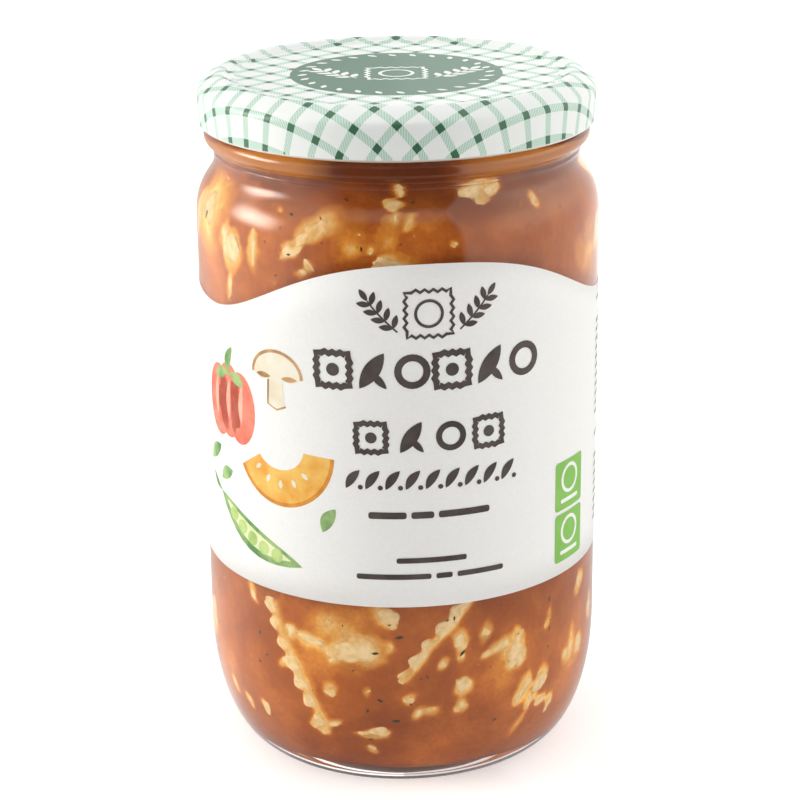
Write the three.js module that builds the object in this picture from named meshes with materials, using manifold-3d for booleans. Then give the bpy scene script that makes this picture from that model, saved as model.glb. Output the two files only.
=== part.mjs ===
// A shut glass jar of ravioli in sauce: blown glass, a pressed steel twist-off lid, a wrap-round paper
// label with a wavy top edge, and the pasta that shows through the clear glass above and below the label.
// Millimetres, +Z up. The origin is the centre of the foot ring, on the table. The jar's front looks
// along -Y, and an azimuth is counted in degrees from there towards +X.

import * as THREE from 'three';
import { mergeVertices } from 'three/addons/utils/BufferGeometryUtils.js';
import Module from 'manifold-3d';

const wasm = await Module();
wasm.setup();

// Driving dimensions of the glass
const BODY_RADIUS = 43.75;
const FOOT_RADIUS = 33;
const FOOT_WIDTH = 1.6;
const PUSH_UP = 2.4;
const HEEL_HEIGHT = 28;
const SHOULDER_START = 121.5;
const SHOULDER_END = 134.5;
const NECK_RADIUS = 39.5;
const BEAD_HEIGHT = 139.2;
const BEAD_RADIUS = 2;
const FINISH_RADIUS = 39.2;
const RIM_HEIGHT = 150.3;
const WALL = 2.4;
const BORE_RADIUS = 36.6;
const FLOOR_HEIGHT = 4.9;
const FLOOR_RISE = 1.2;
const INNER_HEEL_HEIGHT = 27;
const HEEL_DEPTH = 11;
const GLASS_SEGMENTS = 56;

// Driving dimensions of the screw threads and the lid
const THREAD_COUNT = 6;
const THREAD_RADIUS = 1.1;
const THREAD_SPAN = 52;
const THREAD_LOW = 141.5;
const THREAD_RISE = 5.5;
const THREAD_TURN = 1.5;
const LID_RADIUS = 42.65;
const LID_FOOT = 141.5;
const LID_TOP = 152.1;
const PANEL_HEIGHT = 151;
const PANEL_RADIUS = 34.6;
const STEEL = 0.3;
const CURL_RADIUS = 0.8;
const LUG_LENGTH = 8;
const LID_SEGMENTS = 56;

// Driving dimensions of the label
const LABEL_GAP = 0.06;
const LABEL_THICKNESS = 0.14;
const LABEL_FOOT = 45.95;
const LABEL_MEAN = 114.9;
const LABEL_WAVE = 7.25;
const LABEL_FLAT = 1.15;
const LABEL_CREST = 8;
const LABEL_HALF_WAVE = 72;
const LABEL_SEAM = 1;
const LABEL_COLUMNS = 64;

// Driving dimensions of the pasta
const CONTENTS_LEVEL = 143.6;
const CORE_DEPTH = 3.2;
const PASTA_GAP = 0.5;
const PASTA_HALF = 15.5;
const PASTA_RIM = 3.4;
const PASTA_SHEET = 0.9;
const PASTA_SWELL = 4;
const PASTA_TEETH = 12;

// The ravioli that lie against the glass at the front, as seen: azimuth, height of the middle, turn
// in the wall's plane, how far the piece is pressed in, its lean along its two sides, and how far its
// left rim curls out towards the glass.
const FRONT_PASTA = [
  { azimuth: -16.9, height: 35.5, turn: 26, press: 3.5, lean: [-0.15, 0.02], curl: 0.9 },
  { azimuth: 27.2, height: 30.7, turn: -39, press: 4.2, lean: [0.04, 0], curl: 4.5 },
  { azimuth: -66, height: 24, turn: 20, press: 5.6, lean: [0, 0], curl: 0 },
  { azimuth: 62, height: 25, turn: 12, press: 5.4, lean: [0.05, 0], curl: 0 },
  { azimuth: 4, height: 15, turn: 10, press: 5.6, lean: [0.05, -0.1], curl: 0 },
  { azimuth: -42, height: 118, turn: 24, press: 5.4, lean: [0.06, -0.02], curl: 0 },
  { azimuth: -17, height: 126, turn: 38, press: 4.9, lean: [0.02, -0.02], curl: 0 },
  { azimuth: 4, height: 115, turn: 6, press: 4.7, lean: [-0.05, 0.1], curl: 0 },
  { azimuth: 27, height: 132, turn: 14, press: 5.4, lean: [0, 0], curl: 0 },
  { azimuth: 68, height: 116, turn: 12, press: 5.0, lean: [0, 0], curl: 0 },
];
const BACK_LOWER = { count: 4, height: 29, from: 96, to: 262 };
const BACK_UPPER = { count: 4, height: 123, from: 98, to: 290 };
const BACK_SEED = 27;

// A point on the circle at an azimuth, seen from the axis
function around(azimuth, radius, height) {
  return [radius * Math.sin(azimuth), -radius * Math.cos(azimuth), height];
}

const radians = THREE.MathUtils.degToRad;

function randomNumbers(seed) {
  let state = seed;
  return () => {
    state = (state * 16807) % 2147483647;
    return state / 2147483647;
  };
}

// Turns a profile of [radius, height] points, drawn counter-clockwise, into a body of revolution about Z
function revolve(profile, segments) {
  const points = profile.map(([radius, height]) => new THREE.Vector2(radius, height));
  const turned = new THREE.LatheGeometry(points, segments);
  turned.rotateX(Math.PI / 2);
  return turned;
}

// Points along a quarter of an ellipse, from one angle to another, without the first
function ellipseArc(centre, radii, from, to, steps) {
  const points = [];
  for (let step = 1; step <= steps; step++) {
    const angle = radians(from + ((to - from) * step) / steps);
    points.push([centre[0] + radii[0] * Math.cos(angle), centre[1] + radii[1] * Math.sin(angle)]);
  }
  return points;
}

// Points along the S of a shoulder, from the body's radius to the neck's, without the first
function shoulder(bodyRadius, start, neckRadius, end, steps) {
  const bend = start + (end - start) * 0.67;
  const curve = new THREE.CubicBezierCurve(
    new THREE.Vector2(bodyRadius, start),
    new THREE.Vector2(bodyRadius, bend),
    new THREE.Vector2(neckRadius, bend),
    new THREE.Vector2(neckRadius, end),
  );
  return curve.getPoints(steps).slice(1).map((point) => [point.x, point.y]);
}

// Moves every vertex of a straight piece onto a circle round the axis: x runs along the circle from
// the azimuth, y inwards from the radius, and z up.
function bendRound(geometry, azimuth, radius) {
  const position = geometry.attributes.position;
  for (let i = 0; i < position.count; i++) {
    const angle = radians(azimuth) + position.getX(i) / radius;
    position.setXYZ(i, ...around(angle, radius - position.getY(i), position.getZ(i)));
  }
  return geometry;
}

// A closed solid for joining, with shared vertices merged and the slivers at the poles dropped
function solid(geometry) {
  const bare = new THREE.BufferGeometry();
  bare.setAttribute('position', geometry.attributes.position.clone());
  if (geometry.index) bare.setIndex(geometry.index.clone());
  const merged = mergeVertices(bare, 1e-4);
  const corners = merged.index.array;
  const kept = [];
  for (let i = 0; i < corners.length; i += 3) {
    const [a, b, c] = [corners[i], corners[i + 1], corners[i + 2]];
    if (a !== b && b !== c && c !== a) kept.push(a, b, c);
  }
  return new wasm.Manifold(new wasm.Mesh({
    numProp: 3,
    vertProperties: new Float32Array(merged.attributes.position.array),
    triVerts: new Uint32Array(kept),
  }));
}

function fuse(geometries) {
  const mesh = geometries.map(solid).reduce((whole, piece) => whole.add(piece)).getMesh();
  const fused = new THREE.BufferGeometry();
  fused.setAttribute('position', new THREE.BufferAttribute(mesh.vertProperties, 3));
  fused.setIndex(new THREE.BufferAttribute(mesh.triVerts, 1));
  fused.computeVertexNormals();
  return fused;
}

// The inside of the glass from the rim down to the middle of the floor, drawn in by a gap, with its two
// bends in as many steps as asked
function innerWall(gap, steps) {
  const body = BODY_RADIUS - WALL - gap;
  const bore = BORE_RADIUS - gap;
  const floor = FLOOR_HEIGHT + gap;
  return [
    [bore, RIM_HEIGHT - 0.9],
    ...shoulder(body, SHOULDER_START - 1, bore, SHOULDER_END - 1, steps).reverse(),
    [body, SHOULDER_START - 1],
    [body, INNER_HEEL_HEIGHT],
    ...ellipseArc([body - HEEL_DEPTH, INNER_HEEL_HEIGHT], [HEEL_DEPTH, INNER_HEEL_HEIGHT - floor], 0, -90, steps),
    [0, floor + FLOOR_RISE],
  ];
}

// The hollow glass: foot ring with a push-up inside it, a long heel, a straight body, the shoulder, a bead
// under the finish, and the rim, then down the inner wall to the floor
function glassProfile() {
  const heelReach = BODY_RADIUS - FOOT_RADIUS;
  return [
    [0, PUSH_UP],
    [FOOT_RADIUS - FOOT_WIDTH - 8, PUSH_UP - 0.5],
    [FOOT_RADIUS - FOOT_WIDTH, 0],
    [FOOT_RADIUS, 0],
    ...ellipseArc([FOOT_RADIUS, HEEL_HEIGHT], [heelReach, HEEL_HEIGHT], -90, 0, 6),
    [BODY_RADIUS, SHOULDER_START],
    ...shoulder(BODY_RADIUS, SHOULDER_START, NECK_RADIUS, SHOULDER_END, 6),
    [NECK_RADIUS, BEAD_HEIGHT - BEAD_RADIUS - 0.1],
    ...ellipseArc([NECK_RADIUS, BEAD_HEIGHT], [BEAD_RADIUS + 0.1, BEAD_RADIUS], -60, 84, 5),
    [FINISH_RADIUS, RIM_HEIGHT - 1.2],
    [FINISH_RADIUS - 0.4, RIM_HEIGHT - 0.3],
    [FINISH_RADIUS - 1.2, RIM_HEIGHT],
    [BORE_RADIUS + 0.7, RIM_HEIGHT],
    ...innerWall(0, 5),
  ];
}

// One rounded thread ridge, rising to the right as a right-hand thread does
function threadRidge(number) {
  const length = radians(THREAD_SPAN) * FINISH_RADIUS;
  const ridge = new THREE.CapsuleGeometry(THREAD_RADIUS, length - 2 * THREAD_RADIUS, 2, 6, 6);
  ridge.rotateZ(-Math.PI / 2);
  const position = ridge.attributes.position;
  for (let i = 0; i < position.count; i++) {
    const along = position.getX(i) / length + 0.5;
    position.setZ(i, position.getZ(i) + THREAD_LOW + THREAD_RISE * along);
  }
  return bendRound(ridge, THREAD_TURN + (number * 360) / THREAD_COUNT, FINISH_RADIUS + 0.15);
}

function glassJar() {
  const ridges = Array.from({ length: THREAD_COUNT }, (_, number) => threadRidge(number));
  return fuse([revolve(glassProfile(), GLASS_SEGMENTS), ...ridges]);
}

// The lid's sheet: from the middle of its underside out and down inside the skirt, round the curled
// edge, up the outside, over the rim and in across the sunk panel
function lidProfile() {
  const inner = LID_RADIUS - STEEL;
  const curl = [LID_RADIUS - CURL_RADIUS, LID_FOOT + CURL_RADIUS];
  return [
    [0, PANEL_HEIGHT - STEEL],
    [PANEL_RADIUS + STEEL, PANEL_HEIGHT - STEEL],
    [PANEL_RADIUS + 2.5, LID_TOP - STEEL],
    [38.5, LID_TOP - STEEL],
    [41.4, PANEL_HEIGHT - 1 - STEEL],
    [inner, PANEL_HEIGHT - 2.9],
    [inner, curl[1] + CURL_RADIUS],
    [curl[0], curl[1] + CURL_RADIUS],
    ...ellipseArc(curl, [CURL_RADIUS, CURL_RADIUS], 90, 360, 6),
    [LID_RADIUS, PANEL_HEIGHT - 2.8],
    [LID_RADIUS - 0.25, PANEL_HEIGHT - 1.7],
    [41.5, PANEL_HEIGHT - 0.8],
    [40.2, PANEL_HEIGHT + 0.1],
    [38.7, LID_TOP - 0.15],
    [37.7, LID_TOP],
    [PANEL_RADIUS + 1.9, LID_TOP - 0.3],
    [PANEL_RADIUS, PANEL_HEIGHT],
    [0, PANEL_HEIGHT],
  ];
}

// One lug, pressed inwards from the curled edge to catch under a thread ridge
function lidLug(number) {
  const lug = new THREE.BoxGeometry(LUG_LENGTH, 2.2, 1.1, 2, 1, 1);
  lug.translate(0, 0, LID_FOOT + CURL_RADIUS);
  return bendRound(lug, THREAD_TURN + 9.5 + (number * 360) / THREAD_COUNT, 41);
}

function steelLid() {
  const lugs = Array.from({ length: THREAD_COUNT }, (_, number) => lidLug(number));
  return fuse([revolve(lidProfile(), LID_SEGMENTS), ...lugs]);
}

// The label's top edge: one broad crest at the front, and a lower one behind
function labelTop(azimuth) {
  const turn = ((azimuth - LABEL_CREST + 540) % 360) - 180;
  const inFront = Math.abs(turn) <= LABEL_HALF_WAVE;
  const behind = (Math.abs(turn) - LABEL_HALF_WAVE) / (180 - LABEL_HALF_WAVE);
  const phase = Math.PI * (inFront ? turn / LABEL_HALF_WAVE : 1 + behind);
  const trough = LABEL_MEAN - LABEL_WAVE - LABEL_FLAT;
  const height = LABEL_MEAN + LABEL_WAVE * Math.cos(phase) - LABEL_FLAT * Math.cos(2 * phase);
  return inFront ? height : trough + (height - trough) * 0.6;
}

// The paper wrap: a flat strip as long as the way round, bent onto the glass, its top edge cut to the
// wave, with its two ends facing each other at the back
function paperLabel() {
  const radius = BODY_RADIUS + LABEL_GAP + LABEL_THICKNESS / 2;
  const length = radians(360 - 2 * LABEL_SEAM) * radius;
  const strip = new THREE.BoxGeometry(length, LABEL_THICKNESS, 1, LABEL_COLUMNS, 1, 1);
  const position = strip.attributes.position;
  for (let i = 0; i < position.count; i++) {
    const azimuth = THREE.MathUtils.radToDeg(position.getX(i) / radius);
    position.setZ(i, position.getZ(i) < 0 ? LABEL_FOOT : labelTop(azimuth));
  }
  return bendRound(strip, 0, radius);
}

// How far from the axis pasta may lie at a height: the inner wall, with a straight slope at the shoulder
function pastaWall(height) {
  const body = BODY_RADIUS - WALL;
  const slope = THREE.MathUtils.mapLinear(height, SHOULDER_START - 5, SHOULDER_END - 6, body, BORE_RADIUS);
  const drop = THREE.MathUtils.mapLinear(height, INNER_HEEL_HEIGHT, FLOOR_HEIGHT, 0, 1);
  const heel = body - HEEL_DEPTH + HEEL_DEPTH * Math.sqrt(1 - THREE.MathUtils.clamp(drop, 0, 1) ** 2);
  return Math.min(Math.max(slope, BORE_RADIUS), heel) - PASTA_GAP;
}

// One raviolo, pressed against the glass: a disc of pasta drawn out to a square with a toothed edge,
// swollen in the middle, then laid round the wall. What would stand past the wall is flattened on it.
function raviolo({ azimuth, height, turn, press, lean, curl }) {
  const swell = PASTA_SHEET + PASTA_SWELL;
  const foot = PASTA_HALF - PASTA_RIM;
  const profile = [
    [0, -swell],
    [PASTA_HALF, -PASTA_SHEET],
    [PASTA_HALF, PASTA_SHEET],
    [foot, PASTA_SHEET],
    [foot * 0.66, swell * 0.8],
    [0, swell],
  ];
  const piece = revolve(profile, 2 * PASTA_TEETH);
  const position = piece.attributes.position;
  for (let i = 0; i < position.count; i++) {
    const [x, y, out] = [position.getX(i), position.getY(i), position.getZ(i)];
    const reach = Math.hypot(x, y);
    const angle = Math.atan2(y, x);
    const squared = 1 / Math.pow(Math.abs(Math.cos(angle)) ** 5 + Math.abs(Math.sin(angle)) ** 5, 0.2);
    const tooth = reach > PASTA_HALF - 0.1 ? 0.6 * Math.cos(PASTA_TEETH * angle) : 0;
    const [across, up] = [x, y].map((side) => side * squared * (1 + tooth / PASTA_HALF));
    const along = across * Math.cos(radians(turn)) - up * Math.sin(radians(turn));
    const rise = across * Math.sin(radians(turn)) + up * Math.cos(radians(turn));
    const top = THREE.MathUtils.clamp(height + rise, FLOOR_HEIGHT + 2, CONTENTS_LEVEL - 0.5);
    const wall = pastaWall(top);
    const curled = curl * THREE.MathUtils.smoothstep(-across / PASTA_HALF, 0.74, 0.9);
    const depth = Math.min(out + curled - press + lean[0] * across + lean[1] * up, 0);
    position.setXYZ(i, ...around(radians(azimuth) + along / wall, wall + depth, top));
  }
  return piece;
}

// Pieces at the sides and back, spread evenly with a seeded unevenness
function scattered({ count, height, from, to }, random) {
  return Array.from({ length: count }, (_, number) => ({
    azimuth: from + ((to - from) * (number + 0.3 * (random() - 0.5))) / (count - 1),
    height: height + 6 * (random() - 0.5),
    turn: 90 * random(),
    press: 3.1 + 0.7 * random(),
    lean: [0.3 * (random() - 0.5), 0.3 * (random() - 0.5)],
    curl: 2 * random(),
  }));
}

// The heap: a plain core smaller than the inside of the jar, and the pieces that touch the glass
function pastaHeap() {
  const random = randomNumbers(BACK_SEED);
  const filled = ([radius, height]) => [radius, Math.min(height, CONTENTS_LEVEL)];
  const core = revolve([[0, CONTENTS_LEVEL], ...innerWall(CORE_DEPTH, 3).map(filled)].reverse(), 24);
  const placed = [...FRONT_PASTA, ...scattered(BACK_LOWER, random), ...scattered(BACK_UPPER, random)];
  return fuse([core, ...placed.map(raviolo)]);
}

function part(name, geometry, color, roughness, metalness) {
  const mesh = new THREE.Mesh(geometry, new THREE.MeshStandardMaterial({ color, roughness, metalness }));
  mesh.name = name;
  return mesh;
}

const group = new THREE.Group();
group.add(part('jar', glassJar(), 0xdfe8e4, 0.05, 0));
group.add(part('lid', steelLid(), 0xdde5df, 0.35, 0.2));
group.add(part('label', paperLabel(), 0xf1f0ee, 0.75, 0));
group.add(part('ravioli', pastaHeap(), 0xc07a3c, 0.6, 0));

export default group;
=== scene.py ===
import math
import random

import bmesh
import bpy
from mathutils import Matrix, Vector, noise
from mathutils.bvhtree import BVHTree


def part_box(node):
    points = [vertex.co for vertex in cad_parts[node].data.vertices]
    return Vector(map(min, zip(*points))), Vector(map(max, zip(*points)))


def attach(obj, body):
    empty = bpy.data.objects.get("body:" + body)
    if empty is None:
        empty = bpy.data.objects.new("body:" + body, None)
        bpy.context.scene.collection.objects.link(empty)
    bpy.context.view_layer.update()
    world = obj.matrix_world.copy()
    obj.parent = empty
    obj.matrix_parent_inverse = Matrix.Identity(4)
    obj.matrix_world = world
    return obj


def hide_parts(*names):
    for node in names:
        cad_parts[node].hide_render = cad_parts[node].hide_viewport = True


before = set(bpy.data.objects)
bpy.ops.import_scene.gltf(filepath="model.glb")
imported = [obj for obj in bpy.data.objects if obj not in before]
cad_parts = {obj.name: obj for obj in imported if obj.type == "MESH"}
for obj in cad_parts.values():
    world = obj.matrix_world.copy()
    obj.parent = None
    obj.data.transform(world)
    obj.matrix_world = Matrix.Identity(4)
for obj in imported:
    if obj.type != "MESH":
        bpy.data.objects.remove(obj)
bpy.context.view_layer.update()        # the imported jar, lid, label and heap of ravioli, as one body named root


# The jar: clear white glass, blown in a mould. A foot ring with a push-up inside it, a long round heel,
# a straight body, a shoulder drawn in to the neck, a bead under the finish, and six rounded threads that
# the lid's lugs catch under. The fine line round the neck is where the neck ring met the mould.
MM = 0.001
BODY_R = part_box("jar")[1].x
RIM_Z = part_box("jar")[1].z
FOOT_R, FOOT_WIDTH, PUSH_UP = 33 * MM, 1.6 * MM, 2.4 * MM
HEEL_Z, SHOULDER_LOW, SHOULDER_HIGH = 28 * MM, 121.5 * MM, 134.5 * MM
NECK_R, BEAD_Z, BEAD_SIZE, FINISH_R = 39.5 * MM, 139.2 * MM, 2 * MM, 39.2 * MM
PARTING_Z, PARTING_SIZE = 135.6 * MM, 0.14 * MM
WALL, BORE_R, INNER_HEEL_Z, HEEL_DEPTH = 2.4 * MM, 36.6 * MM, 27 * MM, 11 * MM
FLOOR_Z, FLOOR_RISE = 4.9 * MM, 1.2 * MM
THREADS, THREAD_R, THREAD_HIGH = 6, 1.1 * MM, 1.3 * MM
THREAD_LENGTH, THREAD_LOW, THREAD_RISE = math.radians(52) * FINISH_R, 141.5 * MM, 5.5 * MM
THREAD_TURN = math.radians(1.5)
GLASS_STEPS = 208


def around(azimuth, radius, height):
    """A point at an azimuth counted from the front, -Y, towards +X."""
    return Vector((radius * math.sin(azimuth), -radius * math.cos(azimuth), height))


def ellipse_arc(centre, radii, start, end, steps):
    """Points of a profile along an ellipse between two angles in degrees, without the first."""
    turns = [math.radians(start + (end - start) * k / steps) for k in range(1, steps + 1)]
    return [(centre[0] + radii[0] * math.cos(t), centre[1] + radii[1] * math.sin(t)) for t in turns]


def shoulder(radius, low, neck_radius, high, steps):
    """Points of a profile up the S of the shoulder, without the first."""
    bend = low + (high - low) * 0.67
    points = []
    for k in range(1, steps + 1):
        t = k / steps
        wide = (1 - t) ** 3 + 3 * t * (1 - t) ** 2
        height = (1 - t) ** 3 * low + 3 * t * (1 - t) * bend + t ** 3 * high
        points.append((radius * wide + neck_radius * (1 - wide), height))
    return points


def inner_wall(gap, steps):
    """The inside of the glass from the rim down to the middle of the floor, moved inwards by a gap."""
    body, bore, floor = BODY_R - WALL - gap, BORE_R - gap, FLOOR_Z + gap
    low, high = SHOULDER_LOW - 1 * MM, SHOULDER_HIGH - 1 * MM
    heel_middle, heel_radii = (body - HEEL_DEPTH, INNER_HEEL_Z), (HEEL_DEPTH, INNER_HEEL_Z - floor)
    return [
        (bore, RIM_Z - 0.9 * MM),
        *reversed(shoulder(body, low, bore, high, steps)),
        (body, low),
        (body, INNER_HEEL_Z),
        *ellipse_arc(heel_middle, heel_radii, 0, -90, steps),
        (0, floor + FLOOR_RISE),
    ]


def revolve(profiles, steps):
    """A bmesh of profiles of (radius, height) points spun round the axis, one material slot to each."""
    bm = bmesh.new()
    for slot, profile in enumerate(profiles):
        line = [bm.verts.new((0, -r, z)) for r, z in profile]
        edges = [bm.edges.new(pair) for pair in zip(line, line[1:])]
        before = len(bm.faces)
        bmesh.ops.spin(bm, geom=line + edges, cent=(0, 0, 0), axis=(0, 0, 1), angle=math.tau,
                       steps=steps, use_merge=True)
        for face in list(bm.faces)[before:]:
            face.material_index = slot
    bmesh.ops.remove_doubles(bm, verts=bm.verts, dist=0.002 * MM)
    bmesh.ops.recalc_face_normals(bm, faces=bm.faces)
    return bm


def piece(name, bm, *materials):
    """A smooth object made from a bmesh, carried by the jar."""
    mesh = bpy.data.meshes.new(name)
    for face in bm.faces:
        face.smooth = True
    bm.to_mesh(mesh)
    bm.free()
    for material in materials:
        mesh.materials.append(material)
    made = bpy.data.objects.new(name, mesh)
    bpy.context.scene.collection.objects.link(made)
    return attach(made, "root")


def new_material(name, color, **sockets):
    """A material with its shader's uniform sockets set, and the node tree to add to."""
    material = bpy.data.materials.new(name)
    material.use_nodes = True
    shader = material.node_tree.nodes["Principled BSDF"]
    shader.inputs["Base Color"].default_value = (*color, 1)
    for socket, value in sockets.items():
        shader.inputs[socket.replace("_", " ")].default_value = value
    return material, material.node_tree, shader


def node(tree, kind, inputs=(), **settings):
    """A node with its settings, its numbers and its links: an input that is a socket is linked."""
    made = tree.nodes.new(kind)
    for key, value in settings.items():
        setattr(made, key, value)
    for key, value in dict(inputs).items():
        if isinstance(value, bpy.types.NodeSocket):
            tree.links.new(value, made.inputs[key])
        else:
            made.inputs[key].default_value = value
    return made


def object_noise(tree, scale, detail=2.0, **inputs):
    """Noise laid over a piece in the object's own coordinates, with this many bumps to the metre."""
    place = node(tree, "ShaderNodeTexCoord").outputs["Object"]
    values = {"Vector": place, "Scale": scale, "Detail": detail, **inputs}
    return node(tree, "ShaderNodeTexNoise", values).outputs["Fac"]


def bump(tree, shader, height, distance, strength=1.0):
    """A relief of this many metres on a shader."""
    relief = node(tree, "ShaderNodeBump", {"Height": height, "Distance": distance, "Strength": strength})
    tree.links.new(relief.outputs["Normal"], shader.inputs["Normal"])


def glass_profile():
    """The glass's outline from under the push-up, up the outside, over the rim and down inside."""
    parting = [(NECK_R + PARTING_SIZE * math.sin(math.pi * k / 4), PARTING_Z + (k - 2) * 0.1 * MM)
               for k in range(5)]
    finish = [(FINISH_R, BEAD_Z + BEAD_SIZE + (0.1 + 0.34 * k) * MM) for k in range(24)]
    return [
        (0, PUSH_UP),
        (FOOT_R * 0.35, PUSH_UP - 0.15 * MM),
        *ellipse_arc((FOOT_R * 0.7, PUSH_UP - 1.8 * MM), (4 * MM, 1.2 * MM), 90, 30, 4),
        (FOOT_R - FOOT_WIDTH - 1.5 * MM, 0.25 * MM),
        (FOOT_R - FOOT_WIDTH - 0.3 * MM, 0),
        (FOOT_R, 0),
        *ellipse_arc((FOOT_R, HEEL_Z), (BODY_R - FOOT_R, HEEL_Z), -90, 0, 24),
        (BODY_R, HEEL_Z + 1 * MM),
        (BODY_R, SHOULDER_LOW - 1 * MM),
        (BODY_R, SHOULDER_LOW),
        *shoulder(BODY_R, SHOULDER_LOW, NECK_R, SHOULDER_HIGH, 22),
        *parting,
        *ellipse_arc((NECK_R, BEAD_Z), (BEAD_SIZE + 0.1 * MM, BEAD_SIZE), -86, 84, 16),
        *finish,
        (FINISH_R, RIM_Z - 1.2 * MM),
        *ellipse_arc((FINISH_R - 1.2 * MM, RIM_Z - 1.2 * MM), (1.2 * MM, 1.2 * MM), 0, 90, 5),
        (BORE_R + 0.7 * MM, RIM_Z),
        *inner_wall(0, 22),
    ]


def raise_threads(bm):
    """Lifts six rounded ridges out of the finish, each rising to the right, as a right-hand thread."""
    for vert in bm.verts:
        radius = math.hypot(vert.co.x, vert.co.y)
        if radius < FINISH_R - 0.05 * MM or vert.co.z < BEAD_Z + 0.5 * MM:
            continue
        azimuth = math.atan2(vert.co.x, -vert.co.y)
        for number in range(THREADS):
            turn = azimuth - THREAD_TURN - number * math.tau / THREADS
            along = math.remainder(turn, math.tau) * FINISH_R
            share = max(-0.5, min(0.5, along / THREAD_LENGTH))
            beyond = max(0, abs(along) - THREAD_LENGTH / 2 + THREAD_R)
            away = math.hypot(vert.co.z - THREAD_LOW - THREAD_RISE * (share + 0.5), beyond) / THREAD_R
            if away < 1:
                lifted = FINISH_R + THREAD_HIGH * (1 - away ** 2) ** 0.7
                vert.co.xy *= max(lifted, radius) / radius


clear_glass, tree, shader = new_material("clear_glass", (0.985, 0.995, 0.985), Roughness=0.0, IOR=1.5,
                                         Transmission_Weight=1.0)
bump(tree, shader, object_noise(tree, 70, 1.0), 0.12 * MM, 0.5)

glass_bm = revolve([glass_profile()], GLASS_STEPS)
raise_threads(glass_bm)
glass = piece("glass_jar", glass_bm, clear_glass)
glass.visible_shadow = False
glass.visible_diffuse = False
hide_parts("jar")


# The ravioli: squares of two sheets of fresh pasta round a filling, cut with a toothed wheel. Cooked,
# they are soft and lie pressed against the glass, flat where they touch it, their crimped rims ruffled.
PASTA_HALF, PASTA_RIM, PASTA_SHEET, PASTA_SWELL = 15.5 * MM, 3.4 * MM, 0.9 * MM, 4 * MM
TEETH, TOOTH, RUFFLE, WRINKLE = 6.5, 0.6 * MM, 0.62 * MM, 0.9 * MM
# As shares of the way from the middle of a raviolo to its edge
TEETH_FROM, CORNER_ROUND, CURL_FROM, CURL_RUN = 0.76, 0.06, 0.71, 0.14
PASTA_CUTS = 44
INTO_GLASS, SQUEEZE, FREE_BULGE = 0.14 * MM, 0.1 * MM, 2.8 * MM
LEVEL_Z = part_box("ravioli")[1].z
# Azimuth in degrees, height of the middle in mm, turn in degrees, how far the piece lies inwards in mm,
# the lean across and up the piece, how far its left rim curls out in mm, and the filling's shift
FRONT_RAVIOLI = [
    (-16.9, 35.5, 26, 4.4, -0.15, 0.02, 1.95, 0.30, 0.15),
    (27.2, 30.7, -39, 5.9, 0.04, 0.0, 6.35, 0.24, 0.14),
    (-66, 24, 20, 6.4, 0.0, 0.0, 0.0, 0.0, 0.0),
    (62, 25, 12, 6.0, 0.05, 0.0, 0.0, 0.0, 0.0),
    (4, 12, 10, 7.2, 0.05, -0.1, 0.0, 0.0, 0.0),
    (-42, 118, 24, 6.2, 0.06, -0.02, 0.0, 0.0, 0.0),
    (-17, 126, 38, 6.0, 0.02, -0.02, 0.0, 0.0, 0.0),
    (4, 115, 6, 6.7, -0.05, 0.10, 0.0, 0.0, 0.2),
    (27, 142, 14, 6.6, 0.0, 0.0, 0.0, 0.0, 0.0),
    (68, 116, 12, 5.3, 0.0, 0.0, 0.0, 0.0, 0.0),
]
# At the sides and back: azimuth of the first and last, their count and height
BACK_RAVIOLI = [(96, 262, 4, 29), (98, 290, 4, 123)]
BACK_SEED, BACK_UNEVEN, BACK_LEAN, BACK_RISE, BACK_CURL = 27, 0.3, 0.3, 6, 2
BACK_PRESS, BACK_PRESS_SPAN, BACK_FILLING = 4.4, 0.8, (0.1, 0.1)
INNER_STEP = 0.25 * MM

inner_line = [(z, r) for r, z in reversed(inner_wall(0, 40))]


def inner_radius(height):
    """How far the inner wall stands from the axis at a height."""
    for (low, low_r), (high, high_r) in zip(inner_line, inner_line[1:]):
        if low <= height <= high and high > low:
            return low_r + (high_r - low_r) * (height - low) / (high - low)
    return BORE_R


inner_table = [inner_radius(k * INNER_STEP) for k in range(int(RIM_Z / INNER_STEP) + 2)]


def wall_at(height):
    """The inner wall's radius at a height, read from the table."""
    at = max(height / INNER_STEP, 0)
    return inner_table[int(at)] + (inner_table[int(at) + 1] - inner_table[int(at)]) * (at % 1)


def lay_on_wall(place, across, up, out):
    """Where a point of a piece lies when it is bent round the wall, before the glass flattens it."""
    azimuth, height, turn, press, lean_across, lean_up = place
    turn = math.radians(turn)
    along = across * math.cos(turn) - up * math.sin(turn)
    rise = across * math.sin(turn) + up * math.cos(turn)
    top = min(max(height * MM + rise, FLOOR_Z + 1.2 * MM), LEVEL_Z - 0.5 * MM)
    wall = wall_at(top)
    depth = min(out - press * MM + lean_across * across + lean_up * up, FREE_BULGE)
    return around(math.radians(azimuth) + along / wall, wall + depth, top)


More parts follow.
